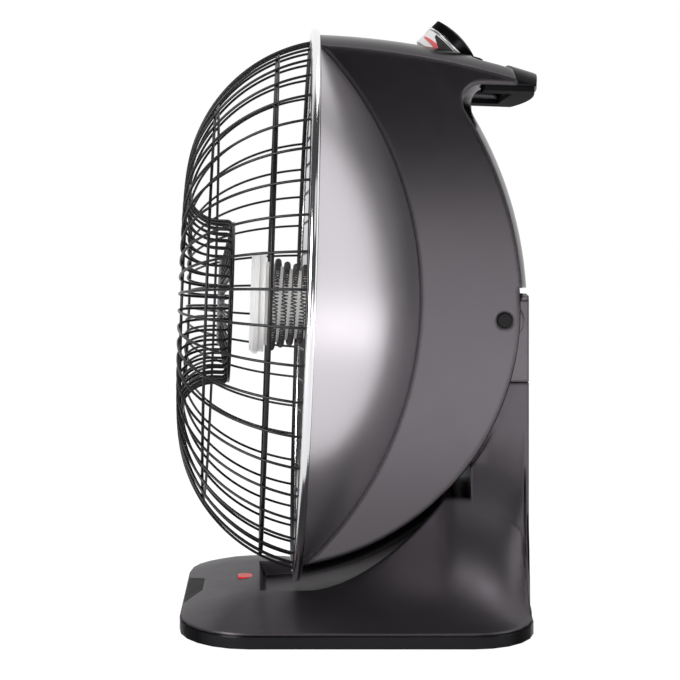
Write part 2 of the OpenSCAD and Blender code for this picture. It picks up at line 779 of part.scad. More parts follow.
// --- Stand ---
module tower_plan(inset) {
    intersection() {
        translate([-tower_x + inset, -tower_front + inset])
            square([2 * (tower_x - inset), tower_front + tower_back]);
        translate([0, tower_back - tower_plan_r]) circle(tower_plan_r - inset, $fn = 1440);
    }
}
module tower_cap() {
    color([0.24, 0.22, 0.24]) difference() {
        translate([0, pivot_y, tower_seam]) linear_extrude(tower_h - tower_seam) tower_plan(0);
        // Shadow line round the seam
        translate([0, pivot_y, tower_seam - 1]) linear_extrude(1 + seam_groove) difference() {
            square(4 * tower_x, center = true);
            tower_plan(seam_groove);
        }
        translate([0, pivot_y, tower_seam - 1])
            linear_extrude(tower_h - tower_seam + 1 - stand_wall) tower_plan(stand_wall);
        // Bevelled top edges, at the rear and at the sides
        translate([-big, pivot_y + tower_back - tower_bevel, tower_h]) rotate([-45, 0, 0])
            cube([2 * big, tower_bevel * 2, tower_bevel * 2]);
        for (s = [0, 1]) mirror([s, 0, 0]) translate([tower_x - tower_end_bevel, -big, tower_h])
            rotate([0, 45, 0]) cube([tower_end_bevel * 2, 2 * big, tower_end_bevel * 2]);
        pivot_frame() rotate([0, 90, 0]) cylinder(r = pin_r, h = big, center = true);
    }
}
// Half width of the base at the distance y behind the pivot
rear_corner = base_back - base_bulge;
function corner_w(t) = base_straight + (base_half - base_straight) * sqrt(1 - pow(1 - t, 2));
function plan_w(y) =
    y < -base_front + base_corner ? corner_w(max(0, (y + base_front) / base_corner))
    : y < rear_corner - base_corner ? base_half
    : y < rear_corner ? corner_w((rear_corner - y) / base_corner)
    : base_straight * sqrt(max(0, base_back - y) / base_bulge);
// Height of the saddle's edge beside the pocket
function saddle_h(y) =
    y < -pocket_front
    ? deck_h - (deck_h - edge_h) * pow((-pocket_front - y) / (base_front - pocket_front), 2)
    : min(shoulder_h,
        deck_h + saddle_rise * pow(max(0, (y + pivot_back) / saddle_run), saddle_power));
// A quarter circle: 1 beside the tower, 0 at the rim, level where it meets the rim
function flare(u) = 1 - sqrt(1 - pow(1 - u, 2));
function ease(t) = let (c = min(1, max(0, t))) c * c * (3 - 2 * c);
// Behind the tower the skin falls away to the bulged rear edge
function rear_fall(y) = pow(min(1, max(0, base_back - y) / base_bulge), 1.2);
function deck_z(x, y) =
    let (w = y > rear_corner ? base_straight : plan_w(y),
        rise = (saddle_h(y) - edge_h) * rear_fall(y),
        u = max(0, (x - tower_x) / (w - tower_x)),
        u_wall = (pocket_half - tower_x) / (base_half - tower_x),
        q = max(0, (x - pocket_half) / (w - pocket_half)),
        steep = flare(min(1, u)) / flare(u_wall), gentle = 1 - min(1, q) * min(1, q),
        mix = ease((y + pocket_front) / (pocket_front / 2)))
    edge_h + rise * (gentle * (1 - mix) + steep * mix);
side_run = base_front + rear_corner - 2 * base_corner;
loft_rows = concat(
    [for (a = [0 : 15 : 90]) -base_front + base_corner * (1 - cos(a))],
    [for (k = [1 : 15]) -base_front + base_corner + side_run * k / 16],
    [for (a = [90 : -15 : 0]) rear_corner - base_corner * (1 - cos(a))],
    [for (k = [5 : -1 : 1]) base_back - base_bulge * k * k / 36],
    [base_back - base_bulge / 144]);
// The outline's right half, and the same moved inwards along its normals
rim = [for (y = loft_rows) [plan_w(y), y]];
function mirrored(p) = [-p[0], p[1]];
function inset_rim(d) = let (last = len(rim) - 1)
    [for (i = [0 : last])
        let (run = (i == last ? mirrored(rim[i]) : rim[i + 1]) - (i == 0 ? mirrored(rim[i]) : rim[i - 1]))
        rim[i] + d * unit([-run[1], run[0]])];
// Where the lines along the base cross a row of half width w: by equal turns of the flare
function row_x(w, k) =
    let (s = min(1, w / base_straight), reach = w / s - tower_x,
        first = acos(1 - min(1, (pocket_half - tower_x) / reach)),
        turn = k < 4 ? first * (k - 2) / 2 : first + (90 - first) * (k - 4) / 9)
    k < 2 ? k * tower_x * s / 2 : s * (tower_x + reach * (1 - cos(turn)));
// The skin of the base over its rim moved in by inset, lowered by drop, down to the height low
module base_loft(inset, drop, low) {
    half = 13;
    span = 2 * half + 1;
    rows = inset_rim(inset);
    n = len(rows);
    top = [for (p = rows, k = [-half : half])
        let (x = row_x(p[0], abs(k))) [sign(k) * x, p[1], max(low + eps, deck_z(x, p[1]) - drop)]];
    low_edge = [for (i = [0 : n - 1], s = [0, 1])
        let (p = top[i * span + s * (span - 1)]) [p[0], p[1], low]];
    base = n * span;
    faces = concat(
        [for (i = [0 : n - 2], k = [0 : span - 2])
            let (a = i * span + k, b = a + span)
            each (k < half ? [[a, b, b + 1], [a, b + 1, a + 1]] : [[a, b, a + 1], [a + 1, b, b + 1]])],
        [for (i = [0 : n - 2]) [i * span, base + 2 * i, base + 2 * i + 2, (i + 1) * span]],
        [for (i = [0 : n - 2])
            [(i + 1) * span + span - 1, base + 2 * i + 3, base + 2 * i + 1, i * span + span - 1]],
        [concat([base], [for (k = [0 : span - 1]) k], [base + 1])],
        [concat([base + 2 * n - 1], [for (k = [span - 1 : -1 : 0]) (n - 1) * span + k],
            [base + 2 * n - 2])],
        [concat([for (i = [0 : n - 1]) base + 2 * i + 1],
            [for (i = [n - 1 : -1 : 0]) base + 2 * i])]);
    translate([0, pivot_y, 0]) polyhedron(concat(top, low_edge), faces, convexity = 6);
}
module pocket() {
    wall_z = deck_h - pivot_h;
    pivot_frame() {
        across(pocket_half) intersection() {
            translate([belly_y, belly_z]) circle(belly_r + pocket_gap, $fn = 360);
            polygon([[-pocket_front - pocket_slope, wall_z + deck_h], [-pocket_front, wall_z],
                [-pocket_front + pocket_slope, wall_z - deck_h + tray_h],
                [-tower_front, -pivot_h], [-tower_front, 0]]);
        }
        difference() {
            across(pocket_half) translate([belly_y, belly_z])
                circle(cheek_arc + cheek_gap, $fn = 360);
            translate([-tower_x, -tower_front, -big]) cube([2 * tower_x, big, 2 * big]);
        }
    }
}
// The chambers under the shell: all of it but the block round the pocket and the screw bosses
module chambers() {
    block = pocket_half + stand_wall;
    difference() {
        base_loft(shell_inset + stand_wall, stand_wall, tray_h - 1);
        translate([-block, pivot_y - pocket_front - stand_wall, 0]) cube([2 * block, big, big]);
        each_screw() cylinder(r = boss_r, h = big);
    }
    translate([0, pivot_y, tray_h - 1]) linear_extrude(tower_seam) tower_plan(stand_wall);
}
module lens_plan() {
    r = lens_d / 2;
    run = lens_w / 2 - r;
    translate([-run, -r]) square([2 * run, lens_d]);
    for (s = [-1, 1]) translate([s * run, 0]) circle(r);
}
lens_y = pivot_y - pocket_front - lens_lead;
lens_t = 4.6;
module inlay_place() {
    rise = deck_z(0, -base_front + inlay_len) - edge_h;
    translate([0, pivot_y - base_front + shell_inset, edge_h])
        rotate([atan(rise / inlay_len), 0, 0]) children();
}
module inlay_plan(gap) {
    lean = (inlay_half - inlay_back_half) / inlay_len;
    side = gap * norm([1, lean]);
    front = inlay_half + side + gap * lean;
    back = inlay_back_half + side - gap * lean;
    polygon([[-front, -gap], [front, -gap], [back, inlay_len + gap], [-back, inlay_len + gap]]);
}
module inlet_place() {
    translate([-inlet_x, pivot_y + tower_back, inlet_z]) rotate([-90, 0, 0]) children();
}
module base_shell() {
    color([0.26, 0.24, 0.26]) difference() {
        union() {
            base_loft(shell_inset, 0, tray_h);
            translate([0, pivot_y, tray_h]) linear_extrude(tower_seam - tray_h) tower_plan(0);
        }
        pocket();
        chambers();
        translate([0, lens_y, tray_h - 1]) linear_extrude(deck_h) lens_plan();
        inlay_place() translate([0, 0, -inlay_t]) linear_extrude(deck_h) inlay_plan(0.3);
        inlet_place() translate([0, 0, -10]) cylinder(r = inlet_r + 3, h = 30);
        each_screw() cylinder(r = shank_r, h = screw_seat + screw_len + 1);
    }
}

// --- Tray ---
tray_floor = foot_h + tray_wall;
screw_seat = tray_floor + 1;
module rim_plan(d) {
    right = inset_rim(d);
    polygon(concat(right, [for (i = [len(right) - 1 : -1 : 0]) mirrored(right[i])]));
}
front_foot = -base_front + foot_inset;
rear_foot = base_back - foot_inset;
module at_corners(front, rear) {
    for (x = [-1, 1], y = [front, rear])
        translate([x * (base_half - foot_inset), pivot_y + y, 0]) children();
}
module each_screw() {
    at_corners(front_foot + screw_front, rear_foot - screw_rear) children();
}
module base_tray() {
    color([0.05, 0.05, 0.05]) difference() {
        union() {
            translate([0, pivot_y, foot_h]) linear_extrude(tray_wall) rim_plan(0);
            translate([0, pivot_y, foot_h]) linear_extrude(tray_h - foot_h) difference() {
                rim_plan(0);
                rim_plan(tray_wall);
            }
            each_screw() translate([0, 0, foot_h]) cylinder(r = boss_r, h = tray_h - foot_h);
        }
        switch_place() cylinder(r = plunger_r + run_clear, h = tray_h);
        each_screw() cylinder(r = screw_r + 0.2, h = screw_seat);
        each_screw() cylinder(r = shank_r + 0.2, h = tray_h + 1);
    }
}
module feet() {
    color([0.15, 0.15, 0.15]) at_corners(front_foot, rear_foot) cylinder(r = foot_r, h = foot_h);
}
module base_screws() {
    head_h = 2.4;
    slot_w = 1;
    slot_l = 5.2;
    color("gray") each_screw() translate([0, 0, screw_seat - head_h]) difference() {
        union() {
            cylinder(r = screw_r, h = head_h);
            cylinder(r = shank_r, h = head_h + screw_len);
        }
        translate([-slot_l / 2, -slot_w / 2, -1]) cube([slot_l, slot_w, 2]);
        translate([-slot_w / 2, -slot_l / 2, -1]) cube([slot_w, slot_l, 2]);
    }
}

// --- Pieces on and under the deck ---
module footlight_lens() {
    color("red") translate([0, lens_y, deck_h - lens_t]) linear_extrude(lens_t) lens_plan();
}
module footlight_lamp() {
    color("orange") translate([0, lens_y, tray_floor])
        linear_extrude(deck_h - lens_t - tray_floor)
            square([lens_w - 8, lens_d - 4], center = true);
}
module front_inlay() {
    color([0.03, 0.03, 0.03]) inlay_place() translate([0, 0, -inlay_t])
        linear_extrude(inlay_t) inlay_plan(0);
}
switch_x = base_half - switch_inset;
module switch_place() {
    translate([switch_x, pivot_y - switch_front, 0]) children();
}
// The plunger hangs on its flange; the spring above pushes it down when the base lifts
flange_t = 1.5;
flange_r = plunger_r + 1.5;
plunger_top = tray_floor + plunger_travel + flange_t;
spring_top = plunger_top + 4;
module tip_switch() {
    color("darkred") switch_place() difference() {
        translate([-switch_w / 2, -switch_w / 2, tray_floor])
            cube([switch_w, switch_w, spring_top - tray_floor + 2.5]);
        cylinder(r = flange_r + 0.5, h = spring_top);
    }
}
module tip_plunger() {
    color("ivory") switch_place() {
        cylinder(r = plunger_r, h = plunger_top);
        translate([0, 0, plunger_top - flange_t]) cylinder(r = flange_r, h = flange_t);
    }
}
module plunger_spring() {
    color("gray") switch_place() translate([0, 0, plunger_top])
        ring(plunger_r - 1, plunger_r - 2, spring_top - plunger_top);
}
module buzzer() {
    color([0.1, 0.1, 0.1]) translate([-switch_x, pivot_y - switch_front, tray_floor])
        cylinder(r = 12, h = 9);
}
// Two steel plates that steady the base, lying between the screw bosses
module ballast() {
    front = front_foot + screw_front + 2 * boss_r;
    run = rear_foot - screw_rear - 3 * boss_r - front;
    color("dimgray") for (s = [0, 1]) mirror([s, 0, 0])
        translate([base_half - ballast_inset - ballast_w, pivot_y + front, tray_floor])
            cube([ballast_w, run, ballast_t]);
}
module terminal_block() {
    color("ivory") translate([10, pivot_y - tower_front + stand_wall + 4, tray_floor])
        cube([40, 18, 14]);
}
module cord_inlet() {
    bush = 9;
    flange = 2.4;
    color([0.07, 0.07, 0.07]) inlet_place() translate([0, 0, -stand_wall - 2]) difference() {
        union() {
            cylinder(r = inlet_r + 3, h = bush);
            translate([0, 0, bush - flange]) cylinder(r = inlet_r + 5, h = flange);
        }
        translate([0, 0, -1]) cylinder(r = inlet_r, h = bush + 2);
    }
}

guard_spokes();
guard_hoops();
guard_well_wires();
guard_floor_wires();
guard_well_ring();
guard_plate();
bezel_ring();
reflector();
dish_shell();
element_cap();
element_former();
element_coil();
element_terminals();
element_holder();
thermal_cutout();
housing();
handle_grip();
handle_cover();
dial_scale();
thermostat();
knob_trim();
thermostat_knob();
knob_shaft();
pivot_pins();
pivot_caps();
friction_washers();
tower_cap();
base_shell();
base_tray();
feet();
footlight_lens();
footlight_lamp();
front_inlay();
tip_switch();
tip_plunger();
plunger_spring();
buzzer();
ballast();
terminal_block();
cord_inlet();
base_screws();
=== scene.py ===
"""Parabolic dish heater on a tilting stand, in a plain white studio.

Lengths are in metres. +Z is up, the dish faces -Y and X runs across the heater.
Shapes on the head are worked out in the dish's own frame (x across, y to the rear, z up,
from the middle of the mouth) and then set in place by head().
"""
import json
import math

import bmesh
import bpy
import numpy as np
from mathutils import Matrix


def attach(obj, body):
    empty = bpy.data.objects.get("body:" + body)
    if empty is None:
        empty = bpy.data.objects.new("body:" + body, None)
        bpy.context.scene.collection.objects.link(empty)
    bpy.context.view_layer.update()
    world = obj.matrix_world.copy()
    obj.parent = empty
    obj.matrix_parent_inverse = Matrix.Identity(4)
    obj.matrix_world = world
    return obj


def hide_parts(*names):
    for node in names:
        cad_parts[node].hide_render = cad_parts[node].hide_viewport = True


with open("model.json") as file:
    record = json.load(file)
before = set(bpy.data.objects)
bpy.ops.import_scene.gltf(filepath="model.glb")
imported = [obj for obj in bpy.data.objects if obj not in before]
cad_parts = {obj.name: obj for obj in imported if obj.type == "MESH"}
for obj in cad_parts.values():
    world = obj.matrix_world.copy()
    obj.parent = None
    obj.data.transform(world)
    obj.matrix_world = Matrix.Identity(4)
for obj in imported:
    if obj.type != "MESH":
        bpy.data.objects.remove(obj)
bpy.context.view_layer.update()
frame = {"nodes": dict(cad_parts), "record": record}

NODES = frame["nodes"]
MM = 0.001

# --- Sizes ---
# Head: its lean at rest, the pivot, and the mouth's middle seen from the pivot
TILT = math.radians(2.0)
PIVOT = np.array([0.0, 0.106786, 0.221474])
PIVOT_BACK, PIVOT_DROP = 145.358 * MM, 5.3 * MM
DISH_AXIS = np.array([0.0, 1.0, 0.0])
# Chrome ring and silver shell; SHELL_MID is the ball's middle on the dish's axis
RING_R, RING_BAND, RING_DEPTH = 211.3 * MM, 8.0 * MM, 6.4 * MM
RING_INNER_EDGE, RING_OUTER_EDGE = 0.5 * MM, 3.1 * MM
SHELL_R, SHELL_MOUTH_R, SHELL_WALL, SHELL_MID = 280 * MM, 206 * MM, 1.6 * MM, -186.44 * MM
# Heating strand: the turns, then the fine wire wound along them
COIL_TURNS, COIL_PITCH, COIL_FRONT = 11, 7.0 * MM, 26.8 * MM
COIL_R, COIL_FLARE, COIL_TAPER = 28.6 * MM, 6.0 * MM, 0.05
STRAND_R, STRAND_END, STRAND_PITCH, STRAND_WIRE = 2.5 * MM, 5.4 * MM, 2.7 * MM, 0.52 * MM
# Guard: distances in front of the mouth, and the radii of the wires' bends
WIRES, WIRE_R, GUARD_FRONT = 48, 1.0 * MM, 93.7 * MM
BEND_R, BEND_AT, BEND_FROM = 115.0 * MM, 88.58 * MM, math.radians(12.4)
WELL_BEND_R, WELL_FLOOR, WELL_CORNER = 26.0 * MM, 57.0 * MM, 4.0 * MM
PLATE_R, PLATE_FRONT, WIRE_LAP = 33.0 * MM, 64.6 * MM, 2 * MM
WELL_RING_R, WELL_RING_FRONT, WELL_RING_WIRE = 60.8 * MM, 57.0 * MM, 1.1 * MM
# Base: the screws' places on one side, the reach round them, a height between the deck and
# the bores' feet, and the height that the screws' tips stay under
SCREWS, SCREW_HOLE = [(0.148, -0.0447), (0.148, 0.0418)], 2.0 * MM
DECK_CUT, SCREW_TOP = 14 * MM, 16.5 * MM
# Dial: its foot in the dish's frame, its lean, and the scale's cylinder
DIAL_BACK, DIAL_UP, DIAL_LEAN = 93.558 * MM, 191.583 * MM, math.radians(43.0)
SCALE_R = 20.0 * MM


# --- Places and shapes ---
def head(points):
    """Dish frame to world: y less the pivot's setback, z plus its drop, both turned by the
    rest tilt about X, then added to the pivot."""
    p = np.asarray(points, float)
    y, z = p[..., 1] - PIVOT_BACK, p[..., 2] + PIVOT_DROP
    c, s = math.cos(TILT), math.sin(TILT)
    return np.stack([p[..., 0], PIVOT[1] + y * c + z * s, PIVOT[2] - y * s + z * c], -1)


def dial(points):
    """Dial frame (z along the knob's axis) to world: y and z turned by the dial's lean about
    X, moved to the foot of the dial, then set in place by head()."""
    p = np.asarray(points, float)
    c, s = math.cos(DIAL_LEAN), math.sin(DIAL_LEAN)
    y = DIAL_BACK + p[..., 1] * c + p[..., 2] * s
    z = DIAL_UP - p[..., 1] * s + p[..., 2] * c
    return head(np.stack([p[..., 0], y, z], -1))


def unit(v):
    """Each vector over its length."""
    return v / np.linalg.norm(v, axis=-1, keepdims=True)


def finish_mesh(name, mesh, angle=35.0, clean=True):
    """Merges doubles, turns the faces outwards and marks edges sharper than the angle."""
    if clean:
        bm = bmesh.new()
        bm.from_mesh(mesh)
        bmesh.ops.remove_doubles(bm, verts=bm.verts, dist=1e-6)
        bmesh.ops.dissolve_degenerate(bm, edges=bm.edges, dist=1e-7)
        bmesh.ops.recalc_face_normals(bm, faces=bm.faces)
        bm.to_mesh(mesh)
        bm.free()
    mesh.shade_smooth()
    mesh.set_sharp_from_angle(angle=math.radians(angle))
    piece = bpy.data.objects.new(name, mesh)
    bpy.context.scene.collection.objects.link(piece)
    return piece


def surface(name, grid, wrap_rows=False, wrap_cols=False, angle=35.0):
    """Quads over a grid of points (rows, columns, 3): each cell joins a point with its
    neighbours in the next row and column, and a wrapped direction runs round to its start. A
    grid with one more axis in front holds several such sheets for one mesh."""
    sheets = grid.reshape(-1, *grid.shape[-3:])
    rows, cols = sheets.shape[1:3]
    index = np.arange(rows * cols).reshape(rows, cols)
    u = np.arange(rows if wrap_rows else rows - 1)
    v = np.arange(cols if wrap_cols else cols - 1)
    u2, v2 = (u + 1) % rows, (v + 1) % cols
    quads = np.stack([index[np.ix_(u, v)], index[np.ix_(u, v2)],
                      index[np.ix_(u2, v2)], index[np.ix_(u2, v)]], -1).reshape(-1, 4)
    mesh = bpy.data.meshes.new(name)
    quads = quads[None] + (np.arange(len(sheets)) * rows * cols)[:, None, None]
    mesh.from_pydata(grid.reshape(-1, 3).tolist(), [], quads.reshape(-1, 4).tolist())
    return finish_mesh(name, mesh, angle)


def tube(path, normal, radius, sides):
    """A round tube: at each point of the path (or of each path), a circle spanned by the
    normal, made square to the path's direction, and by the cross of the two."""
    run = unit(np.gradient(path, axis=-2))
    out = unit(normal - run * np.sum(normal * run, -1, keepdims=True))
    up = np.cross(run, out)
    a = np.linspace(0, 2 * math.pi, sides, endpoint=False)
    return (path[..., None, :] + radius * (out[..., None, :] * np.cos(a)[:, None]
                                           + up[..., None, :] * np.sin(a)[:, None]))


def recast(node, angle=35.0):
    """A merged, smooth-shaded copy of a CAD node that stands for it."""
    mesh = NODES[node].data.copy()
    mesh.materials.clear()
    bm = bmesh.new()
    bm.from_mesh(mesh)
    bmesh.ops.remove_doubles(bm, verts=bm.verts, dist=2e-6)
    bm.to_mesh(mesh)
    bm.free()
    if "custom_normal" in mesh.attributes:
        mesh.attributes.remove(mesh.attributes["custom_normal"])
    piece = finish_mesh("skin_" + node, mesh, angle, clean=False)
    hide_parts(node)
    return piece


def dress(piece, finish, body):
    """Gives a piece its finish and body."""
    piece.data.materials.clear()
    piece.data.materials.append(finish)
    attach(piece, body)
    return piece


# --- Effects shared by the finishes ---
def new_group(name, inputs, outputs):
    """A shader node group with the named sockets, and its two end nodes."""
    tree = bpy.data.node_groups.new(name, "ShaderNodeTree")
    for label, kind, value in inputs:
        socket = tree.interface.new_socket(name=label, in_out="INPUT", socket_type=kind)
        socket.default_value = value
    for label, kind in outputs:
        tree.interface.new_socket(name=label, in_out="OUTPUT", socket_type=kind)
    return tree, tree.nodes.new("NodeGroupInput"), tree.nodes.new("NodeGroupOutput")


def noise(tree, vector, scale, detail=3.0, rough=0.5):
    """A noise texture on the given coordinates."""
    n = tree.nodes.new("ShaderNodeTexNoise")
    n.inputs["Detail"].default_value = detail
    n.inputs["Roughness"].default_value = rough
    tree.links.new(vector, n.inputs["Vector"])
    if isinstance(scale, (int, float)):
        n.inputs["Scale"].default_value = scale
    else:
        tree.links.new(scale, n.inputs["Scale"])
    return n


def ranged(tree, value, low, high, to_low, to_high):
    """Map Range from one span to another."""
    n = tree.nodes.new("ShaderNodeMapRange")
    for key, number in (("From Min", low), ("From Max", high),
                        ("To Min", to_low), ("To Max", to_high)):
        n.inputs[key].default_value = number
    tree.links.new(value, n.inputs["Value"])
    return n.outputs["Result"]


CLOUD_SCALE, SMEAR_SCALE = 9.0, 55.0  # per metre
NOISE_SPAN = (0.3, 0.7, -1.0, 1.0)


def skin_group():
    """Colour mottling, roughness spread and a fine grain height, for any moulded or
    painted surface."""
    tree, start, end = new_group("Surface skin", [
        ("Color", "NodeSocketColor", (0.5, 0.5, 0.5, 1)), ("Roughness", "NodeSocketFloat", 0.4),
        ("Spread", "NodeSocketFloat", 0.05), ("Mottle", "NodeSocketFloat", 0.06),
        ("Grain scale", "NodeSocketFloat", 900.0)],
        [("Color", "NodeSocketColor"), ("Roughness", "NodeSocketFloat"),
         ("Height", "NodeSocketFloat")])
    where = tree.nodes.new("ShaderNodeTexCoord").outputs["Object"]
    cloud = noise(tree, where, CLOUD_SCALE, 4.0)
    grain = noise(tree, where, start.outputs["Grain scale"], 2.0)
    smear = noise(tree, where, SMEAR_SCALE, 5.0, 0.6)
    tone = tree.nodes.new("ShaderNodeMath")
    tone.operation = "MULTIPLY_ADD"
    tree.links.new(ranged(tree, cloud.outputs["Fac"], *NOISE_SPAN), tone.inputs[0])
    tree.links.new(start.outputs["Mottle"], tone.inputs[1])
    tone.inputs[2].default_value = 1.0
    scaled = tree.nodes.new("ShaderNodeVectorMath")
    scaled.operation = "SCALE"
    tree.links.new(start.outputs["Color"], scaled.inputs[0])
    tree.links.new(tone.outputs[0], scaled.inputs["Scale"])
    tree.links.new(scaled.outputs[0], end.inputs["Color"])
    rough = tree.nodes.new("ShaderNodeMath")
    rough.operation = "MULTIPLY_ADD"
    tree.links.new(ranged(tree, smear.outputs["Fac"], *NOISE_SPAN), rough.inputs[0])
    tree.links.new(start.outputs["Spread"], rough.inputs[1])
    tree.links.new(start.outputs["Roughness"], rough.inputs[2])
    tree.links.new(rough.outputs[0], end.inputs["Roughness"])
    tree.links.new(grain.outputs["Fac"], end.inputs["Height"])
    return tree


SKIN = skin_group()
COAT_ROUGH, GRAIN_DEPTH = 0.1, 0.2 * MM


def finish(name, color, roughness, metallic=0.0, coat=0.0, grain=900.0, bump=0.05,
           spread=0.04, mottle=0.05, edge=0.0, specular=0.5, tint=1.0):
    """A Principled finish over the surface skin; edge is the radius, in metres, that the
    shading softens sharp edges with, and tint the strength of the shine at the rim."""
    mat = bpy.data.materials.new(name)
    mat.use_nodes = True
    tree = mat.node_tree
    shader = tree.nodes["Principled BSDF"]
    skin = tree.nodes.new("ShaderNodeGroup")
    skin.node_tree = SKIN
    skin.inputs["Color"].default_value = (*color, 1)
    skin.inputs["Roughness"].default_value = roughness
    skin.inputs["Spread"].default_value = spread
    skin.inputs["Mottle"].default_value = mottle
    skin.inputs["Grain scale"].default_value = grain
    tree.links.new(skin.outputs["Color"], shader.inputs["Base Color"])
    tree.links.new(skin.outputs["Roughness"], shader.inputs["Roughness"])
    shader.inputs["Metallic"].default_value = metallic
    shader.inputs["Specular IOR Level"].default_value = specular
    shader.inputs["Specular Tint"].default_value = (tint, tint, tint, 1)
    shader.inputs["Coat Weight"].default_value = coat
    shader.inputs["Coat Roughness"].default_value = COAT_ROUGH
    relief = tree.nodes.new("ShaderNodeBump")
    relief.inputs["Strength"].default_value = bump
    relief.inputs["Distance"].default_value = GRAIN_DEPTH
    tree.links.new(skin.outputs["Height"], relief.inputs["Height"])
    if edge:
        soft = tree.nodes.new("ShaderNodeBevel")
        soft.samples = 6
        soft.inputs["Radius"].default_value = edge
        tree.links.new(soft.outputs["Normal"], relief.inputs["Normal"])
    tree.links.new(relief.outputs["Normal"], shader.inputs["Normal"])
    return mat


BLACK_WIRE = finish("black wire enamel", (0.006, 0.006, 0.007), 0.32, coat=0.1, grain=500,
                    bump=0.1, specular=0.25)
PLATE = finish("grey plate", (0.12, 0.12, 0.13), 0.40, edge=0.0006)
CHROME = finish("chrome", (0.85, 0.85, 0.86), 0.14, metallic=1.0, mottle=0.01, spread=0.02,
                bump=0.01)
MIRROR = finish("polished reflector", (0.86, 0.86, 0.87), 0.12, metallic=1.0, mottle=0.02,
                spread=0.04, bump=0.02, grain=300)
SILVER = finish("silver shell paint", (0.60, 0.57, 0.60), 0.29, metallic=0.9, mottle=0.02,
                grain=1500, bump=0.03, spread=0.012)
CERAMIC = finish("white ceramic", (0.93, 0.92, 0.90), 0.35, coat=0.3, mottle=0.02, grain=400,
                 edge=0.0006)
NICHROME = finish("bright heating wire", (0.12, 0.115, 0.115), 0.30, metallic=1.0, mottle=0.15)
BRASS = finish("brass", (0.72, 0.55, 0.26), 0.28, metallic=1.0)
STEEL = finish("plated steel", (0.55, 0.55, 0.56), 0.28, metallic=1.0, grain=700)
CUTOUT = finish("plain aluminium", (0.70, 0.70, 0.72), 0.35, metallic=1.0)
CHARCOAL = finish("satin charcoal plastic", (0.105, 0.097, 0.105), 0.22, metallic=0.92,
                  tint=0.45, grain=2200, bump=0.04, mottle=0.03, spread=0.02, edge=0.003,
                  specular=0.3)
BLACK_GLOSS = finish("gloss black plastic", (0.005, 0.005, 0.006), 0.18, grain=300, bump=0.02,
                     edge=0.0015, specular=0.16)
BLACK_SATIN = finish("satin black plastic", (0.006, 0.006, 0.007), 0.75, edge=0.001,
                     specular=0.03)
HOUSING = finish("satin charcoal housing", (0.098, 0.090, 0.098), 0.18, metallic=0.97,
                 tint=0.45, grain=2200, bump=0.01, mottle=0.03, spread=0.01, edge=0.005,
                 specular=0.3)
GRIP = finish("gloss black grip", (0.020, 0.019, 0.021), 0.24, metallic=0.92, tint=0.25,
              grain=300, bump=0.01, edge=0.002, spread=0.03)
TRIM = finish("bright trim", (0.92, 0.92, 0.92), 0.35, metallic=1.0, mottle=0.01, edge=0.0008)
INLAY = finish("black inlay", (0.008, 0.008, 0.009), 0.6, specular=0.06)
DECK = finish("satin charcoal deck", (0.115, 0.105, 0.115), 0.36, metallic=0.92, tint=0.45,
              grain=2200, bump=0.04, mottle=0.03, spread=0.02, edge=0.003, specular=0.3)
SCALE_WHITE = finish("white dial scale", (0.60, 0.59, 0.58), 0.35, edge=0.0005)
# Black for the dial's ticks, and for the band that is partly painted shade over the scale.
BLACK_MARK_AND_SHADE = finish("black dial mark and painted shade", (0.02, 0.02, 0.02), 0.4)
MARK_RED = finish("red dial mark", (0.55, 0.09, 0.10), 0.4)
SWITCH = finish("moulded switch case", (0.16, 0.05, 0.04), 0.45, edge=0.0005)
PALE = finish("pale moulding", (0.70, 0.67, 0.58), 0.45, edge=0.0005)
FIBRE = finish("pressed fibre", (0.03, 0.028, 0.025), 0.8, bump=0.4, grain=1200)
RUBBER = finish("black rubber", (0.02, 0.02, 0.02), 0.7, bump=0.25, edge=0.0006)
RED_LENS = finish("red lens", (0.72, 0.008, 0.012), 0.35, mottle=0.04, edge=0.0006, specular=0.1)
LAMP = finish("clear lamp", (0.85, 0.6, 0.3), 0.1)
IRON = finish("cast ballast", (0.12, 0.12, 0.12), 0.7, metallic=0.6, bump=0.4)

BY_SLOT = {
    "guard_black": BLACK_WIRE, "plate": PLATE, "chrome": CHROME, "reflector": MIRROR,
    "silver_paint": SILVER, "ceramic": CERAMIC, "heating_wire": NICHROME, "brass": BRASS,
    "steel": STEEL, "cutout": CUTOUT, "charcoal": CHARCOAL, "black_gloss": BLACK_GLOSS,
    "scale_white": SCALE_WHITE, "switch_case": SWITCH, "pale_plastic": PALE, "fibre": FIBRE,
    "black_rubber": RUBBER, "red_lens": RED_LENS, "lamp": LAMP, "iron": IRON}
OWN_LOOK = {"handle_cover": BLACK_SATIN, "front_inlay": INLAY, "base_shell": DECK,
            "housing": HOUSING, "handle_grip": GRIP, "knob_trim": TRIM, "thermostat_knob": GRIP,
            "base_tray": GRIP, "friction_washers": CHARCOAL}
SLOT_OF = {s["node"]: s["material_slot"] for s in frame["record"]["subparts"]}
BODY_OF = {n: b for b, members in frame["record"]["behaviour"]["bodies"].items()
           for n in members}


def look_of(node):
    """A node's finish: its own where one is named, or else its slot's."""
    return OWN_LOOK.get(node, BY_SLOT[SLOT_OF[node]])


for node, obj in NODES.items():
    for material_slot in obj.material_slots:
        material_slot.material = look_of(node)


# --- The heating strand: a fine coil wound along the turns ---
# Points along all the turns, along each end and round one winding, and the wire's sides
TURN_POINTS, END_POINTS, WINDING_POINTS, WIRE_SIDES = 6000, 40, 11, 6


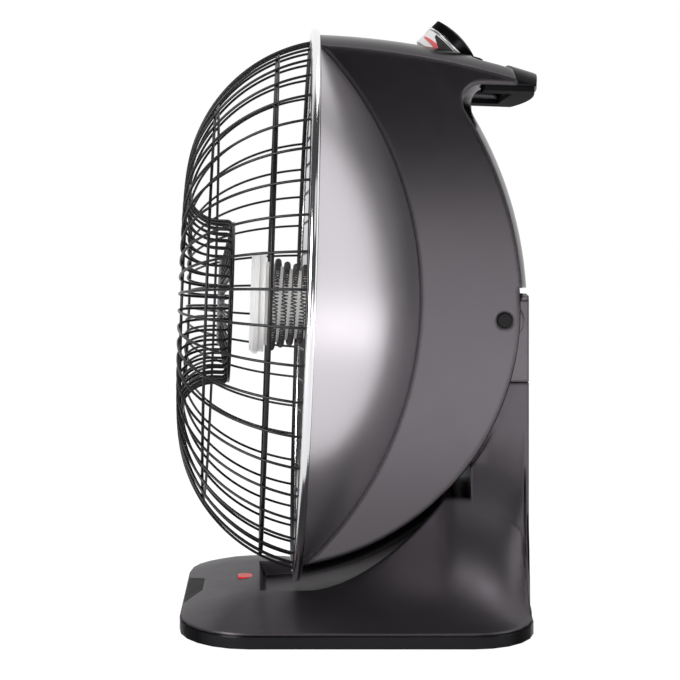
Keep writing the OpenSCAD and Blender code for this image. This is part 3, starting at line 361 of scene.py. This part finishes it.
def strand():
    """The middle line is a helix about the dish's axis, r = R + flare (u / front)^2 in front
    of the mouth and R + taper u behind it, with a straight end along each tangent. The wire
    circles that line at a fixed radius, one turn every STRAND_PITCH of its length."""
    t = np.linspace(0, COIL_TURNS, TURN_POINTS)
    u = COIL_FRONT - t * COIL_PITCH
    r = COIL_R + np.where(u > 0, COIL_FLARE * (u / COIL_FRONT) ** 2, u * COIL_TAPER)
    turn = np.stack([-r * np.cos(2 * np.pi * t), -u, -r * np.sin(2 * np.pi * t)], -1)
    ends = np.linspace(STRAND_END, 0, END_POINTS, endpoint=False)[:, None]
    first, last = unit(turn[0] - turn[1]), unit(turn[-1] - turn[-2])
    line = np.concatenate([turn[0] + ends * first, turn, turn[-1] + ends[::-1] * last])
    length = np.concatenate([[0], np.cumsum(np.linalg.norm(np.diff(line, axis=0), axis=1))])
    steps = int(length[-1] / STRAND_PITCH * WINDING_POINTS)
    s = np.linspace(0, length[-1], steps)
    mid = np.stack([np.interp(s, length, line[:, k]) for k in range(3)], -1)
    run = unit(np.gradient(mid, axis=0))
    out = unit(np.cross(DISH_AXIS, run))
    up = np.cross(run, out)
    a = (2 * np.pi * s / STRAND_PITCH)[:, None]
    spoke = out * np.cos(a) + up * np.sin(a)
    wire = tube(mid + (STRAND_R - STRAND_WIRE) * spoke, spoke, STRAND_WIRE, WIRE_SIDES)
    return surface("heating_strand", head(wire), wrap_cols=True, angle=80)


dress(strand(), NICHROME, "head")
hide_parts("element_coil")


# --- The guard's wires: each runs in one bend after another from the ring to the plate ---
def arc(mid, radius, start, stop, steps):
    """So many points (r, u) on a circle about its middle, from one angle to the other."""
    a = np.linspace(start, stop, steps)
    return np.asarray(mid) + radius * np.stack([np.cos(a), np.sin(a)], -1)


def guard_wires():
    """One wire in (r, u), u forward of the mouth: an arc of BEND_R to the front, one of
    WELL_BEND_R into the middle, a straight piece down to a corner of WELL_CORNER and a
    sloped one to the plate. It is turned to angles (k + 1/2) 2 pi / WIRES about the axis."""
    well_r = BEND_AT - WELL_BEND_R
    slope = math.atan((PLATE_FRONT - WELL_FLOOR) / (well_r - PLATE_R))
    bend = math.pi / 2 + slope
    corner = (well_r - WELL_CORNER, WELL_FLOOR + WELL_CORNER * math.tan(bend / 2))
    line = np.concatenate([
        arc((BEND_AT, GUARD_FRONT - BEND_R), BEND_R, BEND_FROM, math.pi / 2, 36)[:-1],
        arc((BEND_AT, GUARD_FRONT - WELL_BEND_R), WELL_BEND_R, math.pi / 2, math.pi, 14),
        arc(corner, WELL_CORNER, 0, -bend, 10),
        [[PLATE_R - WIRE_LAP, PLATE_FRONT]]])
    a = ((np.arange(WIRES) + 0.5) * 2 * np.pi / WIRES)[:, None]
    r, u = line[:, 0], line[:, 1]
    path = np.stack([r * np.cos(a), -u + 0 * a, r * np.sin(a)], -1)
    side = np.stack([-np.sin(a), 0 * a, np.cos(a)], -1)
    return surface("guard_wires", head(tube(path, side, WIRE_R, 10)), wrap_cols=True, angle=80)


dress(guard_wires(), BLACK_WIRE, "head")
for node in ("guard_spokes", "guard_well_wires", "guard_floor_wires"):
    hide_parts(node)


# --- Forms turned about the dish's axis: the well's ring, the shell and the chrome ring ---
def rounded(corners, radii, steps=6):
    """A closed outline of axis-parallel sides whose corners are quarter circles: each runs
    from the side before to the side after about the point one radius in from both."""
    p = np.asarray(corners, float)
    before, after = unit(p - np.roll(p, 1, 0)), unit(np.roll(p, -1, 0) - p)
    t = np.linspace(0, math.pi / 2, steps)[None, :, None]
    r = np.asarray(radii, float)[:, None, None]
    mid = p[:, None] + r * (after - before)[:, None]
    return (mid + r * (before[:, None] * np.sin(t) - after[:, None] * np.cos(t))).reshape(-1, 2)


def turned(name, outline, steps=256):
    """The outline's points (r, y) turned round the dish's axis: (r cos a, y, r sin a)."""
    a = np.linspace(0, 2 * np.pi, steps, endpoint=False)[:, None]
    r, y = outline[:, 0][None], outline[:, 1][None]
    grid = np.stack([r * np.cos(a), y + 0 * a, r * np.sin(a)], -1)
    return surface(name, head(grid), wrap_rows=True, wrap_cols=True, angle=60)


well_wire = arc((WELL_RING_R, -WELL_RING_FRONT), WELL_RING_WIRE, 0, 2 * math.pi, 13)[:-1]
dress(turned("well_ring", well_wire), BLACK_WIRE, "head")
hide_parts("guard_well_ring")

# The shell is a cap of a ball, from its mouth almost to its pole, with its wall inwards.
mouth, pole = math.acos(SHELL_MOUTH_R / SHELL_R), math.radians(88)
wall = np.concatenate([arc((0, SHELL_MID), SHELL_R, mouth, pole, 60),
                       arc((0, SHELL_MID), SHELL_R - SHELL_WALL, pole, mouth, 60)])
dress(turned("shell", wall), SILVER, "head")
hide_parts("dish_shell")

half, inner = RING_DEPTH / 2, RING_R - RING_BAND
outline = rounded([(inner, -half), (RING_R, -half), (RING_R, half), (inner, half)],
                  [RING_INNER_EDGE, RING_OUTER_EDGE, RING_OUTER_EDGE, RING_INNER_EDGE])
dress(turned("chrome_ring", outline), CHROME, "head")
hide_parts("bezel_ring")

# --- Smooth copies of the nodes that show ---
for node in ("guard_hoops", "guard_plate", "reflector", "element_cap", "element_former",
             "housing", "handle_grip", "handle_cover", "dial_scale", "knob_trim",
             "thermostat_knob", "pivot_caps", "tower_cap", "base_shell", "base_tray",
             "footlight_lens", "front_inlay", "feet", "cord_inlet", "base_screws"):
    dress(recast(node), look_of(node), BODY_OF[node])


def close_holes(piece, places, radius, above):
    """Draws the rim round each place's axis, above a height, together on that axis and takes
    the bore below it away, so that no screw hole shows in the deck."""
    co = np.empty(len(piece.data.vertices) * 3)
    piece.data.vertices.foreach_get("co", co)
    co = co.reshape(-1, 3)
    bore = np.zeros(len(co), bool)
    for x, y in places:
        for side in (-x, x):
            close = np.hypot(co[:, 0] - side, co[:, 1] - y) < radius
            rim = close & (co[:, 2] > above)
            bore |= close & ~rim
            co[rim] = (side, y, co[rim, 2].mean() if rim.any() else 0)
    piece.data.vertices.foreach_set("co", co.ravel())
    bm = bmesh.new()
    bm.from_mesh(piece.data)
    bm.verts.ensure_lookup_table()
    bmesh.ops.delete(bm, geom=[bm.verts[i] for i in np.flatnonzero(bore)], context="VERTS")
    bmesh.ops.remove_doubles(bm, verts=bm.verts, dist=1e-6)
    bm.to_mesh(piece.data)
    bm.free()


close_holes(bpy.data.objects["skin_base_shell"], SCREWS, SCREW_HOLE, DECK_CUT)


def lowered(piece, top):
    """No point of the piece is left above the given height."""
    co = np.empty(len(piece.data.vertices) * 3)
    piece.data.vertices.foreach_get("co", co)
    co[2::3] = np.minimum(co[2::3], top)
    piece.data.vertices.foreach_set("co", co)
    piece.data.update()


lowered(bpy.data.objects["skin_base_screws"], SCREW_TOP)


# --- Dial marks, and a black band that is partly a printed mark and partly painted shade ---
def band(name, start, stop, low, high, lift=0.12 * MM, steps=40):
    """A thin skin on the scale: angle from start to stop, height between two lines that may
    differ at the two ends, lifted off the cylinder."""
    a = np.linspace(start, stop, steps)
    t = np.linspace(0, 1, steps)
    lo = low[0] + (low[1] - low[0]) * t
    hi = high[0] + (high[1] - high[0]) * t
    r_in, r_out = SCALE_R - lift, SCALE_R + lift
    ring = [(r_in, lo), (r_out, lo), (r_out, hi), (r_in, hi)]
    grid = np.stack([np.stack([r * np.cos(a), r * np.sin(a), z], -1) for r, z in ring], 1)
    return surface(name, dial(grid), wrap_cols=True)


wedge = band("dial_wedge", math.radians(-66), math.radians(0),
             (5 * MM, 3 * MM), (6.5 * MM, 8 * MM))
dress(wedge, MARK_RED, "head")
# The black band is partly a printed mark and partly painted shade over the scale. It tapers up
# to its end, so it is made in two parts that meet at 12 degrees.
DARK_TOP, DARK_FOOT, DARK_TIP, DARK_LIFT = 12.4 * MM, 1.0 * MM, 10.8 * MM, 0.15 * MM
for name, start, stop, first_low in (("dial_painted_shade_end", -40, 12, DARK_TIP),
                                     ("dial_painted_shade_band", 12, 120, DARK_FOOT)):
    dark = band(name, math.radians(start), math.radians(stop), (first_low, DARK_FOOT),
                (DARK_TOP, DARK_TOP), lift=DARK_LIFT)
    dress(dark, BLACK_MARK_AND_SHADE, "head")
TICKS, TICK_FROM, TICK_STEP, TICK_HALF = 9, 135, 18, 0.03
for k in range(TICKS):
    at = math.radians(TICK_FROM + TICK_STEP * k)
    tick = band(f"dial_tick_{k}", at - TICK_HALF, at + TICK_HALF, (9.6 * MM, 9.6 * MM),
                (12.6 * MM, 12.6 * MM), steps=3)
    dress(tick, BLACK_MARK_AND_SHADE, "head")


# --- Stage, lamps and camera ---
def ray_mix(tree, lit, white, wall, dim=None):
    """The lit shader for the object's own light, and the white one for the camera and through
    glass. Gloss sees white by the share called wall, as in a room with one white wall, and
    the dim shader elsewhere, or the lit one where there is none."""
    rays = tree.nodes.new("ShaderNodeLightPath")
    if dim:
        away = tree.nodes.new("ShaderNodeMixShader")
        tree.links.new(rays.outputs["Is Glossy Ray"], away.inputs[0])
        tree.links.new(lit, away.inputs[1])
        tree.links.new(dim, away.inputs[2])
        lit = away.outputs[0]
    gloss = tree.nodes.new("ShaderNodeMath")
    gloss.operation = "MULTIPLY"
    tree.links.new(rays.outputs["Is Glossy Ray"], gloss.inputs[0])
    tree.links.new(wall, gloss.inputs[1])
    share = gloss.outputs[0]
    for label in ("Is Camera Ray", "Is Transmission Ray"):
        most = tree.nodes.new("ShaderNodeMath")
        most.operation = "MAXIMUM"
        tree.links.new(rays.outputs[label], most.inputs[0])
        tree.links.new(share, most.inputs[1])
        share = most.outputs[0]
    mix = tree.nodes.new("ShaderNodeMixShader")
    tree.links.new(share, mix.inputs[0])
    tree.links.new(lit, mix.inputs[1])
    tree.links.new(white, mix.inputs[2])
    return mix.outputs[0]


def toward_wall(tree, vector, toward, near, far, least=0.0):
    """From least to 1, as the vector's dot product with the given direction grows from near
    to far."""
    dot = tree.nodes.new("ShaderNodeVectorMath")
    dot.operation = "DOT_PRODUCT"
    tree.links.new(vector, dot.inputs[0])
    dot.inputs[1].default_value = toward
    return ranged(tree, dot.outputs["Value"], near, far, least, 1.0)


FLOOR_HALF, FLOOR_TOP = 6.0, -0.2 * MM
FLOOR_GLOW, FLOOR_GLOW_SHARE = 1.12, 0.88
ROOM_TINT, WHITE = (0.98, 0.97, 1.0, 1), (1, 1, 1, 1)
ROOM_LIGHT, ROOM_DIM = 0.62, 0.055

floor_grid = np.stack(np.meshgrid([-FLOOR_HALF, FLOOR_HALF], [-FLOOR_HALF, FLOOR_HALF],
                                  [FLOOR_TOP], indexing="ij"), -1)[:, :, 0]
floor = surface("floor", floor_grid)
floor.data.flip_normals()
pale = bpy.data.materials.new("pale floor")
pale.use_nodes = True
floor_tree = pale.node_tree
paint = floor_tree.nodes["Principled BSDF"]
paint.inputs["Base Color"].default_value = (0.80, 0.80, 0.80, 1)
paint.inputs["Roughness"].default_value = 0.9
paint.inputs["Specular IOR Level"].default_value = 0.1
glow = floor_tree.nodes.new("ShaderNodeEmission")
glow.inputs["Strength"].default_value = FLOOR_GLOW
shaded = floor_tree.nodes.new("ShaderNodeMixShader")
shaded.inputs[0].default_value = FLOOR_GLOW_SHARE
floor_tree.links.new(paint.outputs[0], shaded.inputs[1])
floor_tree.links.new(glow.outputs[0], shaded.inputs[2])
spot = floor_tree.nodes.new("ShaderNodeTexCoord").outputs["Object"]
bright = toward_wall(floor_tree, spot, (-1, 1.5, 0), 0.0, 0.3, least=0.28)
floor_tree.links.new(ray_mix(floor_tree, paint.outputs[0], shaded.outputs[0], bright),
                     floor_tree.nodes["Material Output"].inputs["Surface"])
floor.data.materials.append(pale)


def backdrop(node, color, strength):
    """Sets a Background node's colour and strength and gives its output."""
    node.inputs["Color"].default_value = color
    node.inputs["Strength"].default_value = strength
    return node.outputs[0]


world = bpy.data.worlds.new("studio")
world.use_nodes = True
bpy.context.scene.world = world
room_tree = world.node_tree
plain = backdrop(room_tree.nodes["Background"], ROOM_TINT, ROOM_LIGHT)
dim = backdrop(room_tree.nodes.new("ShaderNodeBackground"), ROOM_TINT, ROOM_DIM)
white = backdrop(room_tree.nodes.new("ShaderNodeBackground"), WHITE, 1.0)
way = room_tree.nodes.new("ShaderNodeTexCoord").outputs["Generated"]
bright = toward_wall(room_tree, way, (-0.8, 0, 0.6), 0.62, 0.8)
room_tree.links.new(ray_mix(room_tree, plain, white, bright, dim),
                    room_tree.nodes["World Output"].inputs["Surface"])


def lamp(name, place, aim, size, power):
    """A soft rectangular lamp at a place, facing the aim: size in metres, power in watts."""
    light = bpy.data.lights.new(name, "AREA")
    light.shape = "RECTANGLE"
    light.size, light.size_y = size
    light.energy = power
    obj = bpy.data.objects.new(name, light)
    bpy.context.scene.collection.objects.link(obj)
    obj.location = place
    x, y, z = np.array(aim) - np.array(place)
    obj.rotation_euler = (math.atan2(math.hypot(x, y), -z), 0, math.atan2(-x, y))
    obj.visible_camera = False


lamp("rear_softbox", (0.10, 1.10, 0.25), (0.12, 0.05, 0.24), (1.0, 1.9), 6.6)
lamp("near_softbox", (1.40, 0.30, 0.175), (0.08, 0.08, 0.2), (0.9, 0.35), 1.55)
lamp("top_softbox", (-0.2, 0.35, 1.6), (-0.15, 0.3, 0.3), (0.6, 0.9), 4.0)
lamp("shoulder_softbox", (1.0, 0.45, 1.0), (0.1, 0.15, 0.1), (0.8, 0.5), 0.9)
lamp("front_softbox", (1.0, -1.2, 0.55), (0.0, -0.05, 0.22), (0.9, 0.9), 24.0)

# The camera of the photograph, in pixels of its picture: the focal length, and the column
# and row that its axis meets, which is off the picture's middle.
PICTURE, FOCAL, AXIS_COLUMN, HORIZON_ROW, SENSOR = 680, 2195, 259, 271, 36
camera = bpy.data.objects.new("camera", bpy.data.cameras.new("camera"))
bpy.context.scene.collection.objects.link(camera)
camera.location = (1.690, -0.0737, 0.2578)
camera.rotation_euler = (math.radians(90), 0, math.radians(90))
camera.data.sensor_width = SENSOR
camera.data.lens = FOCAL / PICTURE * SENSOR
camera.data.shift_x = (PICTURE / 2 - AXIS_COLUMN) / PICTURE
camera.data.shift_y = -(PICTURE / 2 - HORIZON_ROW) / PICTURE
bpy.context.scene.camera = camera
bpy.context.scene.view_settings.view_transform = "Standard"
